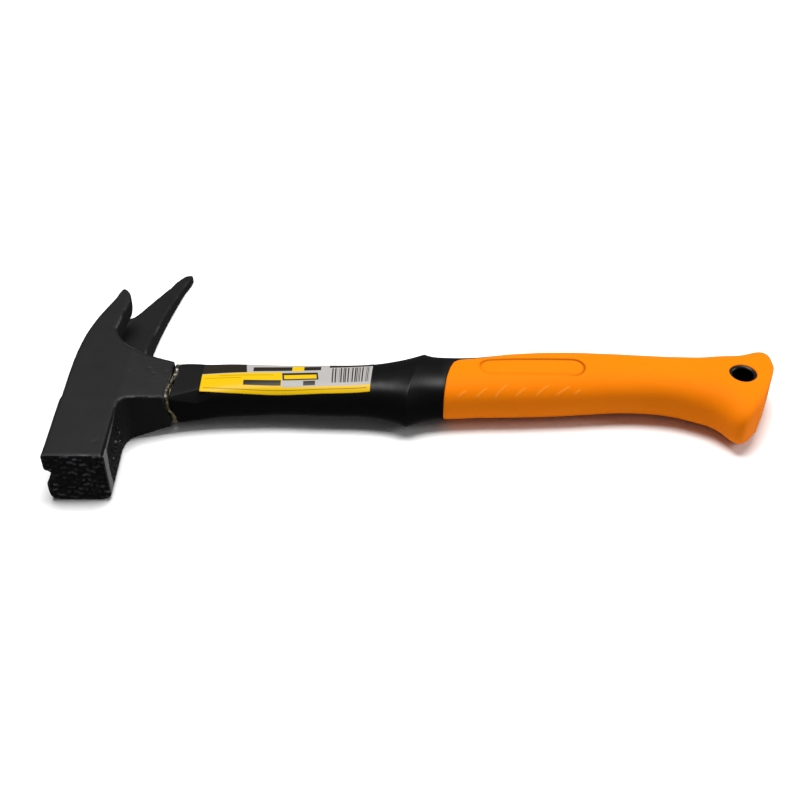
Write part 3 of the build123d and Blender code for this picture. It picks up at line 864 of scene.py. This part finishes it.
class Finish:
    """One material and the nodes that feed its Principled shader."""

    def __init__(self, name):
        self.material = bpy.data.materials.new(name)
        self.material.use_nodes = True
        self.tree = self.material.node_tree
        self.shader = self.tree.nodes["Principled BSDF"]

    def node(self, kind, settings, sockets):
        """Adds a node: its settings first, then a value or a link for each socket it is given."""
        made = self.tree.nodes.new(kind)
        for key, value in settings.items():
            setattr(made, key, value)
        self.feed(made, sockets)
        return {socket.name: Wire(self, socket) for socket in made.outputs if socket.enabled}

    def feed(self, made, sockets):
        """Sets or links the sockets of a node that is there already."""
        for key, value in sockets.items():
            if isinstance(value, Wire):
                self.tree.links.new(value.socket, made.inputs[key])
            else:
                made.inputs[key].default_value = value

    def place(self):
        """Where the shaded point is on the object."""
        return self.node("ShaderNodeTexCoord", {}, {})["Object"]

    def parts(self, vector):
        """The X, Y and Z of a vector."""
        return self.node("ShaderNodeSeparateXYZ", {}, {"Vector": vector}).values()

    def mark(self, name):
        """A number that was stored on the mesh."""
        return self.node("ShaderNodeAttribute", {"attribute_name": name}, {})["Fac"]

    def noise(self, grain, detail=2.0, roughness=0.5):
        """Noise whose grain is given in millimetres, from 0 to 1."""
        sockets = {"Vector": self.place(), "Scale": 1 / (grain * MM)}
        sockets |= {"Detail": detail, "Roughness": roughness}
        return self.node("ShaderNodeTexNoise", {}, sockets)["Fac"]

    def mix(self, share, colour, other):
        """Blends two colours, given as wires or as red, green and blue."""
        first, second = [c if isinstance(c, Wire) else (*c, 1) for c in (colour, other)]
        sockets = {0: share, 6: first, 7: second}
        return self.node("ShaderNodeMix", {"data_type": "RGBA"}, sockets)["Result"]

    def bump(self, height, millimetres):
        """A normal from a height that runs from 0 to 1 over that many millimetres."""
        sockets = {"Height": height, "Distance": millimetres * MM}
        return self.node("ShaderNodeBump", {}, sockets)["Normal"]

    def shade(self, **sockets):
        """Feeds the shader: Base_Color stands for the socket Base Color."""
        self.feed(self.shader, {key.replace("_", " "): value for key, value in sockets.items()})
        print("finish", self.material.name, "has", len(self.tree.nodes), "nodes")
        return self.material


def finish_piece(piece, material):
    """Gives the whole piece one material in place of any it had."""
    piece.data.materials.clear()
    piece.data.materials.append(material)


# %% [markdown]
# ## Blackened steel
# The head wears a thin satin black coat. It has a fine grain, slightly uneven gloss, and where an
# edge stands out the coat is rubbed thin, so a little grey steel shows. A Bevel node could find the
# edges at each render. Here the wear comes from the head's own edge attribute, broken up with noise
# so that it isn't an even line. The milled face, the panel and the slanted edge are glossier, and
# painted shade makes them darker. The crests of the face's teeth are lightened as painted glints,
# and a thin painted highlight runs along the poll's handle side, above its panel.

# %% Finish of the head
COAT_DARK, COAT_LIGHT = (0.0040, 0.0035, 0.0038), (0.0068, 0.0060, 0.0064)
# PAINTED_SHADE_BLACK is painted shade on the milled face, the panel and the slanted edge
PAINTED_SHADE_BLACK, RUBBED, SPECK = (0.0006, 0.0006, 0.0008), (0.09, 0.085, 0.08), (0.05, 0.049, 0.047)
# TOOTH_GLINT_GREY is painted glints on the teeth's crests
TOOTH_GLINT_GREY, GROUND_STEEL_AND_HIGHLIGHT = (0.070, 0.072, 0.080), (0.32, 0.32, 0.33)


def black_steel():
    f = Finish("black_steel")
    exposed = (f.mark("edge_wear") * (f.noise(1.6, 3.0) + 0.35)).ramp(0.42, 0.85)
    rub = exposed * f.noise(9.0, 2.0).ramp(0.45, 0.6)
    # band is bare ground steel, plus a thin painted highlight along the poll's handle side
    milled, band = f.mark("milled"), f.mark("ground_band_and_highlight")
    cloud = f.noise(14.0, 3.0)
    grain = f.noise(0.45, 3.0)
    layers = (
        # painted shade: the face, the panel and the slanted edge go near black
        (milled * 0.85, PAINTED_SHADE_BLACK),
        (rub * 0.7, RUBBED),
        (f.noise(1.1, 1.0).ramp(0.755, 0.79) * 0.5, SPECK),
        # painted glints on the teeth's crests, broken up by noise
        (f.mark("painted_tooth_glint") * f.noise(3.2, 2.0).ramp(0.46, 0.60) * 0.8, TOOTH_GLINT_GREY),
        # bare ground steel on the band, and a painted highlight on the line above the panel
        (band * (0.5 + 0.5 * f.noise(2.5, 3.0)), GROUND_STEEL_AND_HIGHLIGHT),
    )
    colour = f.mix(cloud, COAT_DARK, COAT_LIGHT)
    for share, other in layers:
        colour = f.mix(share, colour, other)
    return f.shade(
        Base_Color=colour,
        Metallic=rub * 0.5 + band * 0.7,
        Roughness=0.44 + 0.12 * cloud - 0.12 * rub + 0.06 * grain - 0.16 * milled,
        Coat_Weight=0.35 * milled,
        Coat_Roughness=0.20,
        Normal=f.bump((0.6 * grain + 0.4 * f.noise(1.8, 2.0)) * (1 - 0.8 * milled), 0.05),
        Specular_IOR_Level=0.20,
    )


finish_piece(head, black_steel())

# %% [markdown]
# ## Plastic, rubber, resin and film
# The jacket is black plastic with a satin mould texture, duller by the joint and past the guard.
# The grip is soft orange rubber, matte, with painted shade in the groove round its panel, most
# along its back and butt end, and a painted highlight on its strokes. The eyelet's rim is paler, a
# painted highlight. The resin is amber with dark dirt in it, and silvery flakes along its back. The
# label's film has a slight gloss, with plain printed blocks and no lettering. The rod is
# straw-coloured glass fibre, and the magnet is nickel plated. Each is a noise or two over a base
# colour: painted images would need a layout, and show where they join.

# %% Finish of jacket and eyelet
# the paler grey serves real scuffs and the painted highlight on the eyelet's rim
PLASTIC, SCUFF_AND_RIM_HIGHLIGHT_GREY = (0.0018, 0.0018, 0.0019), (0.010, 0.010, 0.0105)


def black_plastic(name, gloss, dull_end=0.0, rim_highlight_above=1.0):
    """Satin black: duller at the two ends of the jacket, with a painted highlight above a height,
    for the eyelet's rim.
    """
    f = Finish(name)
    along, _across, height = f.parts(f.place())
    # painted highlight: paler above the given height
    painted_rim_highlight = height.ramp(rim_highlight_above - 0.0002, rim_highlight_above + 0.0002)
    scuff = f.noise(3.0, 4.0, 0.7).ramp(0.66, 0.80)
    dull = (1 - along.ramp(0.044, 0.056)) * 0.28 + along.ramp(0.160, 0.166) * dull_end
    return f.shade(
        Base_Color=f.mix(scuff * 0.25 + painted_rim_highlight, PLASTIC, SCUFF_AND_RIM_HIGHLIGHT_GREY),
        Roughness=gloss + 0.08 * f.noise(22.0, 2.0) + 0.10 * scuff + dull,
        Normal=f.bump(f.noise(0.35, 2.0), 0.02),
        Specular_IOR_Level=0.13,
    )


finish_piece(jacket, black_plastic("black_plastic", 0.33, dull_end=0.3))
# the eyelet's rim, above 25.2 mm, gets a painted highlight against its dark bore
finish_piece(eyelet, black_plastic("eyelet_plastic", 0.24, rim_highlight_above=0.0252))

# %% Finish of the grip
ORANGE, BRIGHT_ORANGE = (0.69, 0.160, 0.001), (0.73, 0.177, 0.002)
# GROOVE_SHADE_BROWN is painted shade in the panel's groove; STROKE_HIGHLIGHT_PALE is a painted
# highlight on the strokes
GROOVE_SHADE_BROWN, STROKE_HIGHLIGHT_PALE = (0.20, 0.045, 0.001), (0.85, 0.36, 0.06)


def orange_rubber():
    f = Finish("orange_rubber")
    cloud = f.noise(30.0, 2.0)
    rubber = f.mix(cloud, ORANGE, BRIGHT_ORANGE)
    # painted shade in the panel's groove
    rubber = f.mix(f.mark("painted_groove_shade") * 0.75, rubber, GROOVE_SHADE_BROWN)
    return f.shade(
        # painted highlight on the strokes
        Base_Color=f.mix(f.mark("painted_stroke_highlight") * 0.38, rubber, STROKE_HIGHLIGHT_PALE),
        Roughness=0.58 + 0.10 * cloud,
        Normal=f.bump(f.noise(0.5, 3.0), 0.03),
        Specular_IOR_Level=0.03,
    )


finish_piece(grip, orange_rubber())

# %% Finish of the resin bead
AMBER_DARK, AMBER, DIRT = (0.030, 0.025, 0.012), (0.16, 0.13, 0.055), (0.006, 0.005, 0.004)
FLAKE_YELLOW, FLAKE_SILVER = (0.38, 0.30, 0.085), (0.34, 0.35, 0.37)


def bead_resin():
    """Amber with flakes and dirt, both fewer on the lower side."""
    f = Finish("bead_resin")
    lump = f.noise(2.2, 3.0)
    _along, across, height = f.parts(f.place())
    # lighter towards the bottom: fewer flakes and less dirt below 15 to 20 mm
    lower_part = 1 - height.ramp(0.0150, 0.0200)
    flake = f.noise(1.3, 2.0).ramp(0.56, 0.62) * (1 - 0.7 * lower_part)
    dirt = f.noise(2.4, 3.0).ramp(0.39, 0.50) * (1 - 0.80 * lower_part)
    amber = f.mix(lump.ramp(0.4, 0.65), AMBER_DARK, AMBER)
    colour = f.mix(flake, amber, f.mix(across.ramp(0.004, 0.009), FLAKE_YELLOW, FLAKE_SILVER))
    colour = f.mix(dirt * 0.95, colour, DIRT)
    return f.shade(
        Base_Color=colour,
        Roughness=0.30 + 0.25 * lump,
        Normal=f.bump(f.noise(0.9, 4.0), 0.25),
    )


finish_piece(bead, bead_resin())


# %% Finish of the core, the eye's resin and the magnet
def inner_finish(node, name, detail, grains, colours, roughness, bump, metallic=0.0):
    """Finishes a frame node: one noise runs from colour to colour, and one is its bump."""
    f = Finish(name)
    spots = f.noise(grains[0], detail)
    finish_piece(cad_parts[node], f.shade(
        Base_Color=f.mix(spots, *colours),
        Metallic=metallic,
        Roughness=roughness[0] + roughness[1] * spots,
        Normal=f.bump(f.noise(grains[1], detail), bump),
    ))


AMBERS = ((0.20, 0.17, 0.07), (0.40, 0.35, 0.17))
STRAWS = ((0.50, 0.46, 0.30), (0.68, 0.65, 0.50))
NICKELS = ((0.42, 0.42, 0.43), (0.60, 0.60, 0.61))
inner_finish("eye_resin", "eye_resin", 3.0, (3.0, 1.4), AMBERS, (0.35, 0.2), 0.2)
inner_finish("fibreglass_core", "glass_fibre", 2.0, (0.6, 0.6), STRAWS, (0.55, 0.1), 0.05)
inner_finish("nail_magnet", "magnet_nickel", 3.0, (0.5, 0.5), NICKELS, (0.28, 0.15), 0.02, 1.0)

# %% Finish of the label
YELLOW, INK, SILVER = (0.60, 0.37, 0.002), (0.018, 0.014, 0.010), (0.33, 0.32, 0.31)
PRINT_EDGE, STRIPES = 0.006, 120.0
# each row: whether it leans, from and to along the label, from and to across it, colour
BLOCKS = (
    (True, -0.1, 0.285, 0.655, 1.1, INK),
    (False, 0.75, 1.1, 0.79, 1.1, INK),
    (False, 0.25, 0.47, 0.20, 0.35, INK),
    (False, 0.30, 0.70, 0.69, 0.86, INK),
    (False, 0.53, 0.60, 0.67, 0.88, YELLOW),
    (True, 0.490, 0.700, 0.34, 0.60, INK),
    (True, 0.500, 0.690, 0.38, 0.52, YELLOW),
    (False, 0.600, 0.670, 0.19, 0.31, INK),
)
THIN_LINES = ((0.10, 0.42, 0.53, 0.545), (0.02, 0.235, 0.43, 0.445), (0.02, 0.98, 0.085, 0.10))


def label_print():
    """Silver and yellow fields, then blocks, stripes of uneven width, and three thin lines."""
    f = Finish("label_print")
    u, v, _ = f.parts(f.node("ShaderNodeUVMap", {"uv_map": "print"}, {})["UV"])
    lean_u = u + 0.03 * v
    colour = f.mix(u.between(-0.1, 0.475) * (1 - v.ramp(0.63, 0.638)), SILVER, YELLOW)
    colour = f.mix(1 - v.ramp(0.155, 0.165), colour, YELLOW)
    for leans, left, right, low, high, ink in BLOCKS:
        across = lean_u if leans else u
        share = across.between(left, right) * v.between(low, high, PRINT_EDGE)
        colour = f.mix(share, colour, ink)
    sockets = {"W": u * STRIPES, "Scale": 1.0, "Detail": 0.0}
    stripes = f.node("ShaderNodeTexNoise", {"noise_dimensions": "1D"}, sockets)["Fac"]
    field = u.between(0.765, 0.985) * v.between(0.24, 0.76, PRINT_EDGE)
    colour = f.mix(stripes.ramp(0.49, 0.53) * field, colour, INK)
    for left, right, low, high in THIN_LINES:
        share = u.between(left, right) * v.between(low, high, PRINT_EDGE) * 0.75
        colour = f.mix(share, colour, INK)
    return f.shade(
        Base_Color=colour,
        Roughness=0.30 + 0.08 * f.noise(8.0),
        Normal=f.bump(f.noise(6.0, 2.0), 0.03),
        Specular_IOR_Level=0.10,
    )


finish_piece(label, label_print())

# %% [markdown]
# ## Floor, light and camera
# The hammer lies on a white table under one very large soft light, with a weaker one at its butt
# end, so that upper faces are bright and sides fall off softly. A bright world alone would light
# the sides as much as the top. Light that bounces off the table still warms the grip's underside,
# but the table is left out of reflections, so blacks stay black.

# %% Floor
FLOOR_HALF, WHITE = 3000, (0.93, 0.93, 0.93, 1)
corners = FLOOR_HALF * np.array([(-1, -1, 0), (1, -1, 0), (1, 1, 0), (-1, 1, 0)])
floor = new_piece("floor", corners, [(0, 1, 2, 3)])
table = Finish("white_table")
finish_piece(floor, table.shade(Base_Color=WHITE, Roughness=0.32, Specular_IOR_Level=0.5))
floor.visible_glossy = False


# %% Lights
def softbox(name, place, aim, width, height, watts):
    """A rectangular area light at place, turned towards aim."""
    lamp = bpy.data.lights.new(name, "AREA")
    lamp.shape, lamp.size, lamp.size_y, lamp.energy = "RECTANGLE", width, height, watts
    holder = bpy.data.objects.new(name, lamp)
    holder.location = place
    holder.rotation_euler = (Vector(aim) - Vector(place)).to_track_quat("-Z", "Y").to_euler()
    bpy.context.scene.collection.objects.link(holder)
    print(name, watts, "W,", round((Vector(aim) - Vector(place)).length, 2), "m away")


HAMMER_MIDDLE = (0.14, 0.0, 0.0)
softbox("overhead", (0.10, 0.22, 1.3), HAMMER_MIDDLE, 0.9, 0.6, 28)
softbox("right_fill", (1.25, 0.0, 0.45), HAMMER_MIDDLE, 0.5, 0.5, 6.5)
world = bpy.data.worlds.new("studio")
bpy.context.scene.world = world
world.use_nodes = True
sky = world.node_tree.nodes["Background"]
sky.inputs["Color"].default_value = (1, 1, 1, 1)
sky.inputs["Strength"].default_value = 0.12
bpy.context.scene.view_settings.view_transform = "Standard"

# %% Camera
CAMERA_TILT = 49.43
lens = bpy.data.cameras.new("camera")
lens.lens, lens.sensor_width = 53.8, 36.0
lens.clip_start, lens.clip_end = 0.01, 20
camera = bpy.data.objects.new("camera", lens)
camera.location = (0.1408, -0.4262, 0.3776)
camera.rotation_euler = (radians(CAMERA_TILT), 0, 0)
bpy.context.scene.collection.objects.link(camera)
bpy.context.scene.camera = camera
print("camera looks down by", round(90 - CAMERA_TILT, 1), "degrees")

# %% [markdown]
# ## Joining the frame
# Each new piece stands for the frame node whose shape it refines, and rides on the hammer's one
# body. The core, the eye's resin and the magnet are the frame's own nodes, which ride already. The
# floor is not part of the hammer.

# %% Ride and replace
for piece, node, slot in (
    (head, "hammer_head", "black_steel"),
    (jacket, "handle_jacket", "black_plastic"),
    (grip, "grip", "orange_rubber"),
    (bead, "joint_bead", "resin"),
    (label, "label", "label_film"),
    (eyelet, "hang_eyelet", "black_plastic"),
):
    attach(piece, "root")
    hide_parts(node)
